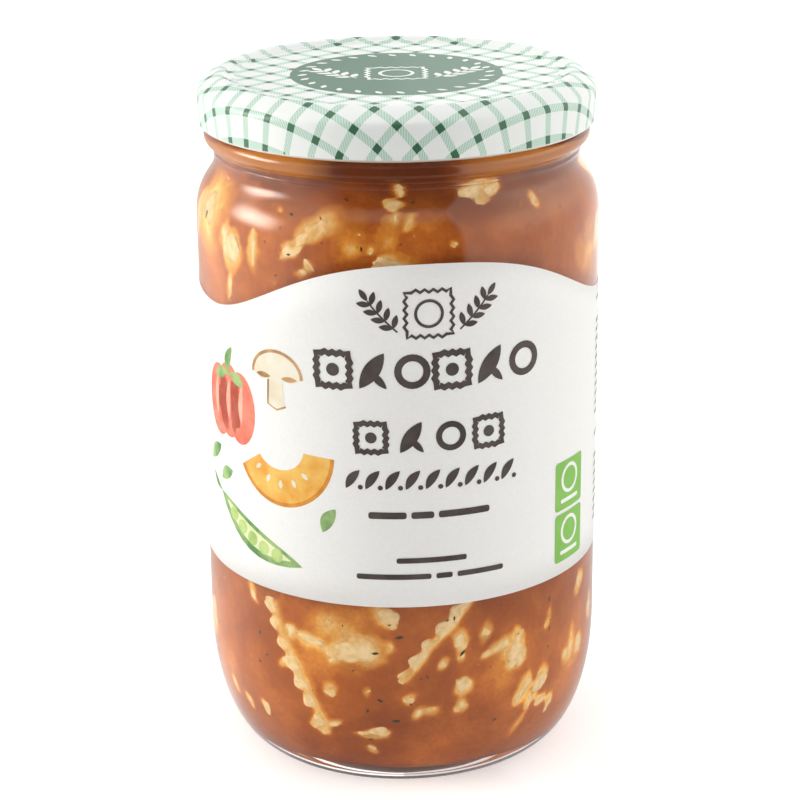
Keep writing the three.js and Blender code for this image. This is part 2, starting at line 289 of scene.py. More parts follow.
def raviolo(bm, place, curl, belly, seed):
    """Adds one raviolo: two square sheets, swollen in the middle, joined at a toothed, crimped rim."""
    sheets = []
    for side in (1, -1):
        made = bmesh.ops.create_grid(bm, x_segments=PASTA_CUTS, y_segments=PASTA_CUTS, size=1)["verts"]
        if side < 0:
            faces = {face for vert in made for face in vert.link_faces}
            bmesh.ops.reverse_faces(bm, faces=list(faces))
        sheets.append((side, made))
    rims = [edge for _, made in sheets for vert in made for edge in vert.link_edges if edge.is_boundary]
    bmesh.ops.bridge_loops(bm, edges=list(set(rims)))
    swell_end = 1 - PASTA_RIM / PASTA_HALF
    for side, made in sheets:
        for vert in made:
            x, y = vert.co.x, vert.co.y
            edge = max(abs(x), abs(y))
            beside = y if abs(x) > abs(y) else x
            tooth = math.cos(math.pi * TEETH * beside) * max(0, (edge - TEETH_FROM) / (1 - TEETH_FROM))
            rounding = 1 - CORNER_ROUND * abs(x * y) ** 3
            reach = (PASTA_HALF + TOOTH * tooth) * rounding
            middle = Vector((x - belly[0] * (1 - edge), y - belly[1] * (1 - edge), 0))
            square = max(abs(middle.x), abs(middle.y))
            dome = max(0, 1 - 0.4 * (square / swell_end) ** 2 - 0.6 * (middle.length / swell_end) ** 2)
            wrinkle = noise.noise(Vector((x * 1.9, y * 1.9, seed + 3 * side)))
            wrinkle += 0.55 * noise.noise(Vector((x * 5.1, y * 5.1, seed + 9 * side)))
            out = side * (PASTA_SHEET + PASTA_SWELL * dome) + WRINKLE * wrinkle
            turned_out = curl * (1 + 0.25 * noise.noise(Vector((0, y * 2.3, seed))))
            out += RUFFLE * tooth + turned_out * MM * min(1, max(0, (-x - CURL_FROM) / CURL_RUN))
            vert.co = lay_on_wall(place, x * reach, y * reach, out)


def back_places(random_place):
    """Ravioli at the sides and back, spread evenly with a seeded unevenness."""
    places = []
    for start, end, count, height in BACK_RAVIOLI:
        for number in range(count):
            share = (number + BACK_UNEVEN * (random_place.random() - 0.5)) / (count - 1)
            lean = [BACK_LEAN * (random_place.random() - 0.5) for _ in range(2)]
            rise, turn = BACK_RISE * (random_place.random() - 0.5), 90 * random_place.random()
            press = BACK_PRESS + BACK_PRESS_SPAN * random_place.random()
            curl = BACK_CURL * random_place.random()
            azimuth = start + (end - start) * share
            places.append((azimuth, height + rise, turn, press, *lean, curl, *BACK_FILLING))
    return places


def calc(tree, operation, *values, **settings):
    """The outcome of a sum on numbers and sockets."""
    settings["operation"] = operation
    return node(tree, "ShaderNodeMath", dict(enumerate(values)), **settings).outputs[0]


def color_ramp(tree, share, *stops):
    """The colour at a share of the way through stops of (position, colour)."""
    made = node(tree, "ShaderNodeValToRGB", {"Fac": share})
    elements = made.color_ramp.elements
    for element, (position, color) in zip(elements, (stops[0], stops[-1])):
        element.position = position
        element.color = (*color, 1)
    for position, color in stops[1:-1]:
        elements.new(position).color = (*color, 1)
    return made.outputs["Color"]


def blended(tree, share, first, second, blend="MIX"):
    """The colour that lies a share of the way from one colour to another."""
    return node(tree, "ShaderNodeMix", {0: share, 6: first, 7: second}, data_type="RGBA",
                blend_type=blend).outputs[2]


def tinted(tree, color, *tints):
    """A colour multiplied by each of these tints."""
    for tint in tints:
        color = blended(tree, 1.0, color, tint, "MULTIPLY")
    return color


egg_pasta, tree, shader = new_material("egg_pasta", (0.80, 0.54, 0.27), Roughness=0.55,
                                       Specular_IOR_Level=0.1)
pressed = node(tree, "ShaderNodeAttribute", attribute_name="pressed").outputs["Fac"]
mottle = calc(tree, "SUBTRACT", object_noise(tree, 420, 4.0), 0.5)
soaked = color_ramp(tree, calc(tree, "MULTIPLY_ADD", mottle, 0.7, pressed),
                    (0.0, (0.72, 0.35, 0.08)), (0.30, (0.82, 0.51, 0.20)), (0.75, (0.87, 0.62, 0.32)))
freckles = color_ramp(tree, object_noise(tree, 800, 4.0),
                      (0.35, (0.92, 0.85, 0.73)), (0.60, (1.04, 1.05, 1.08)))
tree.links.new(tinted(tree, soaked, freckles), shader.inputs["Base Color"])
bump(tree, shader, object_noise(tree, 900, 3.0), 0.15 * MM, 0.4)

pasta_bm = bmesh.new()
for number, values in enumerate(FRONT_RAVIOLI + back_places(random.Random(BACK_SEED))):
    raviolo(pasta_bm, values[:6], values[6], values[7:], 11.3 * (number + 1))
bmesh.ops.recalc_face_normals(pasta_bm, faces=pasta_bm.faces)


# Scraps of pasta, onion and cheese that came loose in cooking and lie against the glass. Those at the
# front lie where they are seen, and the rest are scattered round the jar.
# Azimuth, height, turn, then the length and width in mm, and how far each stands proud in mm
FRONT_SCRAPS = [
    (-11.0, 34.4, -14, 10.5, 7.4, 0.62), (-15.6, 34.6, 2, 9.0, 6.0, 0.55),
    (-19.6, 32.6, 24, 5.4, 3.0, 0.2), (-5.8, 43.0, -24, 7.8, 5.4, 0.45),
    (-29.5, 35.2, -8, 8.4, 4.2, 0.05), (-34.6, 36.6, -20, 4.4, 4.4, 0.1),
    (34.6, 32.4, 84, 8.8, 6.6, 0.6), (29.0, 33.6, 22, 8.0, 3.2, 0.4), (34.4, 28.4, 60, 4.6, 4.0, 0.3),
    (24.9, 37.8, 78, 6.4, 3.4, -0.05), (17.2, 36.4, 84, 6.6, 3.8, 0.3), (17.0, 32.6, 70, 3.4, 2.4, 0.0),
    (17.9, 25.6, 70, 5.0, 5.0, 0.5), (17.4, 21.0, 75, 4.4, 4.2, 0.35), (11.8, 31.6, 60, 4.4, 3.2, -0.3),
    (38.5, 21.6, 66, 9.5, 4.4, 0.35), (45.6, 23.2, 70, 8.0, 4.2, 0.35), (42.0, 18.6, 60, 7, 3.2, 0.2),
    (46.4, 17.0, 40, 5.0, 3.4, 0.35), (51.0, 15.4, 76, 5.4, 3.0, 0.25), (38.4, 13.2, 52, 7, 2.4, -0.35),
    (-7.9, 14.9, 8, 7.4, 3.6, 0.5), (-12.4, 14.6, -4, 5.4, 2.0, 0.1), (-10.3, 10.6, -50, 3.6, 2.6, 0.3),
    (-27.0, 15.6, 60, 5.2, 4.4, 0.5), (-21.6, 16.4, 30, 4.6, 2.6, 0.3),
    (-24.6, 14.0, 10, 3.6, 3.0, 0.3), (1.7, 23.6, 40, 4.4, 3.2, 0.05), (4.4, 20.4, 54, 5.4, 3.0, -0.1),
    (9.0, 20.8, 10, 4.8, 3.4, -0.35), (-3.9, 36.0, 80, 3.8, 3.2, -0.1),
    (-10.6, 25.2, 70, 3.4, 2.4, -0.15), (-21.7, 25.2, 60, 4.6, 3.6, 0.0),
    (-37.8, 28.6, 20, 4.0, 3.2, 0.0), (-63.4, 16.8, -60, 5, 2.2, 0.2),
    (-55.6, 15.2, -62, 4.8, 2.8, 0.25), (-47.7, 16.0, -70, 4.6, 2.6, 0.25),
    (-50.0, 43.4, -70, 7, 3.0, 0.0), (-79.5, 28.2, 82, 10, 7.5, 0.4), (60.8, 27.2, 84, 11, 2.6, 0.15),
    (57, 24.5, 76, 4, 2.6, 0.1), (66, 25, 84, 6, 4, 0.2), (48.2, 36.0, 72, 7, 2.8, -0.1),
    (65.6, 40.1, 72, 7, 4.4, 0.1), (76, 31, 88, 8, 4, 0.2), (-53.9, 119.0, 84, 10, 6.4, 0.5),
    (-58.0, 122.0, 60, 6, 3.4, 0.3), (-55.9, 111.6, 88, 7.5, 2.2, 0.3),
    (-45.1, 119.8, 86, 9, 3.2, 0.15), (-31.5, 122.2, 30, 6.2, 3.8, 0.5),
    (-27.5, 124.6, 34, 6.5, 3.0, 0.2), (-22.6, 127.0, 26, 11.5, 6.0, -0.45),
    (-25.7, 119.5, -52, 4.4, 2.2, 0.25), (-27.6, 117.6, 10, 4.4, 2.6, 0),
    (0.1, 134.9, -60, 3.8, 2.8, 0.2), (-1.8, 131.4, 12, 4.8, 3.4, 0.4),
    (-0.8, 129.0, 80, 3.4, 2.2, -0.2), (-7.6, 123.1, 70, 2.2, 1.8, 0.2),
    (-1.4, 120.6, 4, 9.4, 4.4, 0.55), (-2.2, 126.0, 70, 8.0, 5.6, -0.65),
    (3.4, 127.8, 60, 4, 2.4, -0.3), (15.7, 124.1, 0, 2.0, 1.7, 0.1), (26.6, 134.0, 4, 9.0, 6.0, 0.35),
    (30.0, 134.0, 60, 5.0, 4.4, 0.3), (45.1, 129.2, 84, 3.8, 2.8, 0.05), (79, 117, 84, 9, 6, 0.5),
    (-14.0, 124.0, 60, 9.0, 7.0, -0.9), (9.0, 126.0, 10, 9.0, 5.0, -2.2), (-79, 122, 84, 10, 5, 0.0),
    (-40, 141.6, 0, 30, 3.0, -0.5), (52, 141.6, 0, 13, 3.0, -0.55),
]
SCATTERED_SCRAPS, SCATTER_FROM, SCATTER_SPAN, SCRAP_SEED = 60, 85, 190, 5
LOW_BAND, HIGH_BAND = (12, 44), (110, 137)
SCRAP_LENGTH, SCRAP_WIDTH, SCRAP_PROUD = (3, 11), (2, 5), (-0.3, 0.5)
CRUMBS, CRUMB_SIZE, CRUMB_WIDTH, CRUMB_PROUD = 90, (0.5, 1.5), 0.7, (-0.45, -0.1)
SCRAP_SWELL, SCRAP_PRESS, SCRAP_LEAN = 1.5, 0.9, 0.5


def scrap(bm, place, length, width, seed):
    """Adds one soft scrap: a lumpy lens with a thin rim, pressed on the glass."""
    fine = 3 if length > CRUMB_SIZE[1] else 2
    for vert in bmesh.ops.create_icosphere(bm, subdivisions=fine, radius=1)["verts"]:
        rough = 1 + 0.45 * noise.noise(vert.co * 1.2 + Vector((seed, 0, 0)))
        rough += 0.15 * noise.noise(vert.co * 4 + Vector((0, seed, 0)))
        across, up, out = vert.co * rough
        vert.co = lay_on_wall(place, across * length * MM / 2, up * width * MM / 2,
                              out * abs(out) * SCRAP_SWELL * MM)


def flatten_on_glass(bm):
    """Stores how hard each point is pressed, in millimetres, and squeezes it back to the glass."""
    pressed = bm.verts.layers.float.new("pressed")
    for vert in bm.verts:
        limit = wall_at(vert.co.z) + INTO_GLASS
        radius = math.hypot(vert.co.x, vert.co.y)
        vert[pressed] = (radius - limit) / MM
        beyond = radius - limit + SQUEEZE
        if beyond > 0:
            vert.co.xy *= (limit - SQUEEZE + SQUEEZE * beyond / (beyond + 3 * SQUEEZE)) / radius


scrap_random = random.Random(SCRAP_SEED)
scraps = list(FRONT_SCRAPS)
for number in range(SCATTERED_SCRAPS):
    azimuth = SCATTER_FROM + SCATTER_SPAN * (number + scrap_random.random()) / SCATTERED_SCRAPS
    drawn = (LOW_BAND if number % 2 else HIGH_BAND, (0, 180), SCRAP_LENGTH, SCRAP_WIDTH, SCRAP_PROUD)
    scraps.append((azimuth, *[scrap_random.uniform(*limits) for limits in drawn]))
for number in range(CRUMBS):
    size = scrap_random.uniform(*CRUMB_SIZE)
    drawn = ((0, 360), LOW_BAND if number % 2 else HIGH_BAND, (0, 180))
    place = [scrap_random.uniform(*limits) for limits in drawn]
    scraps.append((*place, size, CRUMB_WIDTH * size, scrap_random.uniform(*CRUMB_PROUD)))
scrap_bm = bmesh.new()
for number, (azimuth, height, turn, length, width, proud) in enumerate(scraps):
    lean = SCRAP_LEAN * noise.noise(Vector((1.7 * number, 0.5, 0)))
    place = (azimuth, height, turn, SCRAP_PRESS - proud, lean, lean)
    scrap(scrap_bm, place, length, width, 4.7 * number)
loose = bpy.data.meshes.new("loose_scraps")
scrap_bm.to_mesh(loose)
scrap_bm.free()
pasta_bm.from_mesh(loose)
bpy.data.meshes.remove(loose)
under_sauce = BVHTree.FromBMesh(pasta_bm)
flatten_on_glass(pasta_bm)
ravioli = piece("ravioli_pieces", pasta_bm, egg_pasta)
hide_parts("ravioli")


# The sauce: tomato, smooth and orange-brown, filling the jar round the ravioli and wetting the glass all
# over. Where pasta lies close behind it the layer is thin, and the pasta glows through.
SAUCE_STEPS, SAUCE_ROW = 448, 0.55 * MM
LABEL_HIDES = (50 * MM, 102 * MM)
DEEPEST, BLURS = 5 * MM, 2
# Painted light that pales both sides, painted shade that darkens it to brown towards the top under the lid, and
# painted light in the neck away from the middle
SIDE_LIGHT_X, SIDE_LIGHT_LEFT, SIDE_LIGHT_RIGHT = 41 * MM, (1.32, 1.46, 1.14), (1.28, 1.42, 1.14)
LID_SHADE_Z, LID_SHADE = (126 * MM, 137 * MM), (0.15, 0.028, 0.004, 1)
LIT_X, LIT_Z, LIT_THROUGH = (12 * MM, 19 * MM), (137.0 * MM, 137.7 * MM), (0.52, 0.165, 0.016, 1)


def between(tree, value, low, high, start=0.0, end=1.0, **settings):
    """How far a value lies between two others, counted from start to end."""
    limits = {"Value": value, 1: low, 2: high, 3: start, 4: end}
    return node(tree, "ShaderNodeMapRange", limits, **settings).outputs[0]


def sauce_profile():
    """The inside of the glass from the floor up to the level, in rows as fine as what shows needs."""
    wall = [(r, z) for r, z in reversed(inner_wall(-INTO_GLASS / 2, 60)) if z < LEVEL_Z - 0.4 * MM]
    low = next(k for k in range(len(wall)) if wall[k][1] > LABEL_HIDES[0])
    wall[low:low] = [(wall[low - 1][0], height) for height in LABEL_HIDES]
    rows = [(wall[1][0] * k / 5, wall[0][1] + (wall[1][1] - wall[0][1]) * k / 5) for k in range(5)]
    for start, end in zip(wall[1:], wall[2:] + [(wall[-1][0], LEVEL_Z - 0.3 * MM)]):
        hidden = LABEL_HIDES[0] < (start[1] + end[1]) / 2 < LABEL_HIDES[1]
        count = 1 if hidden else max(1, round(math.dist(start, end) / SAUCE_ROW))
        for k in range(count):
            rows.append((start[0] + (end[0] - start[0]) * k / count,
                         start[1] + (end[1] - start[1]) * k / count))
    top_r = rows[-1][0]
    return rows + [(top_r, LEVEL_Z - 0.3 * MM), (top_r - 0.6 * MM, LEVEL_Z - 0.7 * MM),
                   (top_r * 0.6, LEVEL_Z - 0.9 * MM), (0, LEVEL_Z - 0.9 * MM)]


def measure_cover(bm):
    """Stores at each point of the sauce how much of it lies over the pasta behind, in millimetres."""
    cover = bm.verts.layers.float.new("cover")
    bm.normal_update()
    bm.verts.index_update()
    depths = []
    for vert in bm.verts:
        inward = -vert.normal
        hit = under_sauce.ray_cast(vert.co - inward * FREE_BULGE, inward, DEEPEST + FREE_BULGE)
        depths.append((DEEPEST if hit[0] is None else hit[3] - FREE_BULGE) / MM)
    near = [[edge.other_vert(vert).index for edge in vert.link_edges] for vert in bm.verts]
    for _ in range(BLURS):
        depths = [0.4 * depth + 0.6 * sum(depths[k] for k in around_it) / len(around_it)
                  for depth, around_it in zip(depths, near)]
    for vert, depth in zip(bm.verts, depths):
        vert[cover] = depth


tomato_sauce, tree, shader = new_material("tomato_sauce", (0.36, 0.10, 0.025), Roughness=0.5,
                                          Specular_IOR_Level=0.1)
cover = node(tree, "ShaderNodeAttribute", attribute_name="cover").outputs["Fac"]
ragged = calc(tree, "SUBTRACT", object_noise(tree, 300, 4.0), 0.5)
uneven = calc(tree, "ADD", ragged, cover)
layer = calc(tree, "DIVIDE", uneven, DEEPEST / MM, use_clamp=True)
glow = color_ramp(tree, layer, (0.0, (0.78, 0.43, 0.13)), (0.05, (0.76, 0.35, 0.07)),
                  (0.14, (0.66, 0.225, 0.028)), (0.34, (0.47, 0.115, 0.014)),
                  (0.85, (0.385, 0.092, 0.012)))
clouds = color_ramp(tree, object_noise(tree, 38, 3.0),
                    (0.32, (0.78, 0.70, 0.64)), (0.66, (1.16, 1.22, 1.28)))
swirls = color_ramp(tree, object_noise(tree, 130, 3.0),
                    (0.36, (0.88, 0.82, 0.80)), (0.64, (1.10, 1.14, 1.18)))
pulp = color_ramp(tree, object_noise(tree, 1100, 4.0),
                  (0.30, (0.90, 0.86, 0.84)), (0.70, (1.08, 1.10, 1.12)))
place = node(tree, "ShaderNodeSeparateXYZ", {0: node(tree, "ShaderNodeTexCoord").outputs["Object"]})
crosswise, upwards = place.outputs["X"], place.outputs["Z"]
# Painted light: a tint that lifts the sauce's colour towards both sides, as though the studio's light came
# through it there
sides = color_ramp(tree, between(tree, crosswise, -SIDE_LIGHT_X, SIDE_LIGHT_X), (0.0, SIDE_LIGHT_LEFT), (0.34, (1, 1, 1)),
                   (0.66, (1, 1, 1)), (1.0, SIDE_LIGHT_RIGHT))
sauce_with_side_light = tinted(tree, glow, tinted(tree, clouds, swirls), pulp, sides)
# Painted shade: where the sauce is thick it darkens to brown towards the top, as in the lid's shadow
lid_shade_share = calc(tree, "MULTIPLY", between(tree, upwards, *LID_SHADE_Z), layer)
sauce_in_lid_shade = blended(tree, lid_shade_share, sauce_with_side_light, LID_SHADE)
off_middle = between(tree, calc(tree, "ABSOLUTE", crosswise), *LIT_X)
lit = calc(tree, "MULTIPLY", off_middle, between(tree, upwards, *LIT_Z))
tree.links.new(blended(tree, lit, sauce_in_lid_shade, LIT_THROUGH), shader.inputs["Base Color"])
bump(tree, shader, object_noise(tree, 700, 3.0), 0.2 * MM, 0.3)

sauce_bm = revolve([sauce_profile()], SAUCE_STEPS)
measure_cover(sauce_bm)
sauce = piece("tomato_sauce", sauce_bm, tomato_sauce)


# Herbs and pepper: dark green and near-black flakes of dried leaf and crushed corn, stirred into the
# sauce. Those that float where it meets the glass are seen.
HERBS, HERB_SEED = 380, 8
HERB_SIZE, HERB_GROWTH, HERB_LOW_SHARE = 0.25, 1.1, 0.55
# Azimuth in degrees, height in mm, turn in degrees and length in mm
FRONT_HERBS = [
    (-47.0, 33.8, 80, 1.3), (-8.1, 34.3, 12, 1.7), (-1.0, 38.2, 10, 2.0), (13.1, 41.6, 40, 1.1),
    (17.5, 33.5, 50, 1.8), (48.9, 33.5, 70, 1.2), (-6.9, 23.2, 150, 1.5), (-2.1, 18.2, 5, 1.9),
    (28.8, 15.6, 10, 1.2), (5.1, 28.3, 20, 0.8), (7.0, 28.8, 120, 0.9), (-10.7, 20.5, 70, 1.1),
    (26.4, 29.0, 30, 0.7), (-14.7, 29.9, 20, 0.8), (-11.1, 30.8, 60, 0.6), (-44.3, 29.0, 40, 1.0),
    (-70.9, 123.9, 60, 2.2), (0.6, 124.5, 30, 0.7), (4.6, 132.0, 50, 0.9), (-36.5, 116.3, 20, 0.9),
]

dried_herbs, tree, shader = new_material("dried_herbs", (0.04, 0.035, 0.015), Roughness=0.7,
                                         Specular_IOR_Level=0.1)
shades = color_ramp(tree, object_noise(tree, 300, 1.0), (0.0, (0.035, 0.022, 0.010)),
                    (1.0, (0.085, 0.085, 0.030)))
tree.links.new(shades, shader.inputs["Base Color"])

herb_random = random.Random(HERB_SEED)
herb_bm = bmesh.new()
herb_places = list(FRONT_HERBS)
for number in range(HERBS):
    height = herb_random.uniform(*(LOW_BAND if herb_random.random() < HERB_LOW_SHARE else HIGH_BAND))
    herb_places.append((herb_random.uniform(0, 360), height, herb_random.uniform(0, 180),
                        HERB_SIZE + HERB_GROWTH * herb_random.random() ** 5))
for number, (azimuth, height, turn, length) in enumerate(herb_places):
    place = (azimuth, height, turn, 0.05, 0, 0)
    flake = bmesh.ops.create_icosphere(herb_bm, subdivisions=1, radius=0.5)["verts"]
    for vert in flake:
        rough = 1 + 0.5 * noise.noise(vert.co * 3 + Vector((number, 0, 0)))
        across, up, out = vert.co * rough
        vert.co = lay_on_wall(place, across * length * MM, up * length * 0.4 * MM,
                              out * 0.2 * MM + INTO_GLASS)
bmesh.ops.recalc_face_normals(herb_bm, faces=herb_bm.faces)
herbs = piece("herb_flakes", herb_bm, dried_herbs)


# The lid: tinplate, printed and lacquered flat and then drawn, so its check runs straight over the sunk
# panel, over the rim and down the skirt. The foot is curled in, with six lugs pressed out of the curl.
LID_R, LID_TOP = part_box("lid")[1].x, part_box("lid")[1].z
LID_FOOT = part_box("lid")[0].z
PANEL_Z, PANEL_R, STEEL, CURL_R = 151 * MM, 34.6 * MM, 0.3 * MM, 0.8 * MM
LUG_LENGTH, LUG_R = 8 * MM, 41 * MM
LID_STEPS = 208
CHECK, CHECK_SHIFT, BAND, HATCH_FINE = 6.34 * MM, 0.76 * MM, 1.7 * MM, 3.6
LID_WHITE, HATCH_PALE, HATCH_DARK = (0.80, 0.82, 0.81, 1), (0.60, 0.74, 0.66, 1), (0.38, 0.56, 0.46, 1)
DISC_R, DISC_GREEN, CROSSING_GREEN = 22.75 * MM, (0.045, 0.145, 0.08, 1), (0.035, 0.13, 0.065, 1)


def lid_outside():
    """The printed side of the sheet, from the middle of the panel out, over the rim and down."""
    return [
        *[(PANEL_R * k / 12, PANEL_Z) for k in range(12)],
        *ellipse_arc((PANEL_R - 0.6 * MM, PANEL_Z + 0.9 * MM), (0.9 * MM, 0.9 * MM), -90, -30, 4),
        *ellipse_arc((37.7 * MM, LID_TOP - 1.4 * MM), (1.9 * MM, 1.4 * MM), 160, 60, 9),
        (40.2 * MM, PANEL_Z + 0.1 * MM),
        (41.0 * MM, PANEL_Z - 0.45 * MM),
        *ellipse_arc((LID_R - 2 * MM, PANEL_Z - 2.8 * MM), (2 * MM, 2.1 * MM), 58, 0, 8),
        (LID_R, PANEL_Z - 4.5 * MM),
        (LID_R, PANEL_Z - 6.5 * MM),
        (LID_R, LID_FOOT + CURL_R + 0.2 * MM),
    ]


def lid_inside():
    """The plain side of the sheet, from the top of the curl back to the middle of the panel."""
    inner = LID_R - STEEL
    return [
        (LID_R - CURL_R, LID_FOOT + 2 * CURL_R),
        (inner - 0.1 * MM, LID_FOOT + 2 * CURL_R + 0.05 * MM),
        (inner, LID_FOOT + 2 * CURL_R + 0.3 * MM),
        (inner, PANEL_Z - 2.9 * MM),
        (41.4 * MM, PANEL_Z - 1 * MM - STEEL),
        (38.5 * MM, LID_TOP - STEEL),
        (PANEL_R + 2.5 * MM, LID_TOP - STEEL),
        (PANEL_R + STEEL, PANEL_Z - STEEL),
        (0, PANEL_Z - STEEL),
    ]


def add_lug(bm, number):
    """Adds one lug: a short rounded tongue, standing inwards from the curl."""
    made = bmesh.ops.create_icosphere(bm, subdivisions=3, radius=1)["verts"]
    angle = THREAD_TURN + math.radians(9.5) + number * math.tau / THREADS
    for vert in made:
        x, y, z = (math.copysign(abs(c) ** 0.55, c) / 2 for c in vert.co)
        taper = 1 - 0.35 * (y + 0.5)
        vert.co = around(angle + x * LUG_LENGTH * taper / LUG_R, LUG_R - y * 2.2 * MM,
                         LID_FOOT + CURL_R + z * 1.1 * MM)
    for face in {face for vert in made for face in vert.link_faces}:
        face.material_index = 1


def print_on_lid(mesh, outside):
    """Unrolls the printed side: each point goes as far from the middle as the sheet runs to it."""
    run = [0.0]
    for start, end in zip(outside, outside[1:]):
        run.append(run[-1] + math.dist(start, end))
    distances = []
    for vert in mesh.vertices:
        radius, height = math.hypot(vert.co.x, vert.co.y), vert.co.z
        near = min(range(len(outside)), key=lambda k: math.dist(outside[k], (radius, height)))
        distances.append(run[near])
    layer = mesh.uv_layers.new(name="print")
    for polygon in mesh.polygons:
        middle = math.atan2(polygon.center.x, -polygon.center.y)
        for index in polygon.loop_indices:
            vertex = mesh.loops[index].vertex_index
            co = mesh.vertices[vertex].co
            azimuth = math.atan2(co.x, -co.y) if math.hypot(co.x, co.y) > 0.01 * MM else middle
            flat = around(azimuth, distances[vertex], 0)
            layer.data[index].uv = (flat.x / CHECK, flat.y / CHECK)


def check_mask(tree, line, shift):
    """1 on the bands of one family of the check, by distance from the nearest band's middle."""
    part = calc(tree, "FRACT", calc(tree, "ADD", line, 0.5 - shift))
    away = calc(tree, "ABSOLUTE", calc(tree, "SUBTRACT", part, 0.5))
    return calc(tree, "LESS_THAN", away, BAND / CHECK / 2)


printed_tin, tree, shader = new_material("printed_tin", (0.83, 0.85, 0.84), Roughness=0.4,
                                         Coat_Weight=0.14, Coat_Roughness=0.1)
unrolled = node(tree, "ShaderNodeUVMap", uv_map="print").outputs["UV"]
split = node(tree, "ShaderNodeSeparateXYZ", {0: unrolled})
slant = math.sqrt(0.5)
ways = []
for sign in (1, -1):
    part = calc(tree, "MULTIPLY", split.outputs["Y"], sign * slant)
    line = calc(tree, "MULTIPLY_ADD", split.outputs["X"], slant, part)
    ways.append(check_mask(tree, line, sign * CHECK_SHIFT / CHECK))
hatch = node(tree, "ShaderNodeTexWave", {"Vector": unrolled, "Scale": HATCH_FINE}, bands_direction="X")
hatched = blended(tree, hatch.outputs["Fac"], HATCH_PALE, HATCH_DARK)
banded = blended(tree, calc(tree, "MAXIMUM", *ways), LID_WHITE, hatched)
crossed = blended(tree, calc(tree, "MULTIPLY", *ways), banded, CROSSING_GREEN)
from_middle = node(tree, "ShaderNodeVectorMath", {0: unrolled}, operation="LENGTH").outputs["Value"]
in_disc = calc(tree, "LESS_THAN", from_middle, DISC_R / CHECK)
tree.links.new(blended(tree, in_disc, crossed, DISC_GREEN), shader.inputs["Base Color"])
bump(tree, shader, object_noise(tree, 300, 2.0), 0.03 * MM, 0.4)

bare_tin, tree, shader = new_material("bare_tin", (0.72, 0.70, 0.64), Roughness=0.35, Metallic=0.6)
tree.links.new(between(tree, object_noise(tree, 200), 0, 1, 0.28, 0.45), shader.inputs["Roughness"])

outside = lid_outside()
curl = ellipse_arc((LID_R - CURL_R, LID_FOOT + CURL_R), (CURL_R, CURL_R), 0, -255, 16)
lid_bm = revolve([[*outside, curl[0]], [*curl, *lid_inside()]], LID_STEPS)
for number in range(THREADS):
    add_lug(lid_bm, number)
lid = piece("printed_lid", lid_bm, printed_tin, bare_tin)
print_on_lid(lid.data, outside)
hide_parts("lid")


# The label: one wrap of matt paper, its top edge cut to a wave, glued round the straight body of the jar
# with its ends lapped at the back.
LABEL_R, LABEL_FOOT = BODY_R + 0.03 * MM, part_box("label")[0].z
PAPER, LAP = 0.07 * MM, math.radians(4)
WAVE_MEAN, WAVE_SIZE, WAVE_FLAT = 114.9 * MM, 7.25 * MM, 1.15 * MM
WAVE_CREST, WAVE_HALF = 8, 72
LABEL_CUTS = (216, 10)


def label_top(azimuth):
    """The height of the paper's top edge: a broad crest in front and a lower one behind."""
    turn = (azimuth - WAVE_CREST + 180) % 360 - 180
    in_front = abs(turn) <= WAVE_HALF
    behind = (abs(turn) - WAVE_HALF) / (180 - WAVE_HALF)
    phase = math.pi * (turn / WAVE_HALF if in_front else 1 + behind)
    trough = WAVE_MEAN - WAVE_SIZE - WAVE_FLAT
    height = WAVE_MEAN + WAVE_SIZE * math.cos(phase) - WAVE_FLAT * math.cos(2 * phase)
    return height if in_front else trough + (height - trough) * 0.6


label_paper, tree, shader = new_material("label_paper", (0.86, 0.85, 0.84), Roughness=0.62,
                                         Specular_IOR_Level=0.35)
fibres = color_ramp(tree, object_noise(tree, 1500, 3.0), (0.0, (0.82, 0.815, 0.81)),
                    (1.0, (0.90, 0.895, 0.885)))
tree.links.new(fibres, shader.inputs["Base Color"])
bump(tree, shader, object_noise(tree, 60, 3.0), 0.10 * MM, 0.5)

label_bm = bmesh.new()
bmesh.ops.create_grid(label_bm, x_segments=LABEL_CUTS[0], y_segments=LABEL_CUTS[1], size=1)
for vert in label_bm.verts:
    azimuth = vert.co.x * (math.pi + LAP / 2)
    top = label_top(math.degrees(azimuth))
    lapped = PAPER * min(1, max(0, (azimuth - math.pi + LAP) / (LAP / 2)))
    height = LABEL_FOOT + (top - LABEL_FOOT) * (vert.co.y + 1) / 2
    vert.co = around(azimuth, LABEL_R + PAPER + lapped, height)
bmesh.ops.recalc_face_normals(label_bm, faces=label_bm.faces)
if sum(face.normal.dot(face.calc_center_median() * Vector((1, 1, 0))) for face in label_bm.faces) < 0:
    bmesh.ops.reverse_faces(label_bm, faces=label_bm.faces)
bmesh.ops.solidify(label_bm, geom=label_bm.faces, thickness=PAPER)
label = piece("paper_label", label_bm, label_paper)
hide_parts("label")


# The print on the label: plain stamps and bars in dark ink, a row of pinked squares for its widest line,
# vegetables painted in thin colour, and two green panels. Each paint is a skin laid on the paper.
INK_LIFT, PAINT_LIFT, PRINT_CUT = 0.016 * MM, 0.005 * MM, 1.5
# Places on the unrolled label in mm, from the front's middle and from the table
TITLE_MIDDLE = 6.7
EMBLEM_AT, EMBLEM_SIZE = (TITLE_MIDDLE - 0.6, 110.6), 12.5
PEPPER_AT, MUSHROOM_AT, SQUASH_AT, POD_AT = (-43, 86), (-27.5, 95), (-27, 79), (-35, 58)
LOOSE_LEAVES = [((-53, 70), (-47.5, 74.5)), ((-47.5, 67), (-42.5, 70)), ((-17, 62), (-14, 67.5))]
# Left end, right end and height of each row of stamps, then their size and count
STAMP_ROWS = [(-18.1, 31.6, 98.4, 8.3, 6), (-10.3, 23.1, 84.0, 7.2, 4)]
LEAF_ROW, LEAF_STEP, LEAF_COUNT = (72.6, 76.8), 4.2, 9
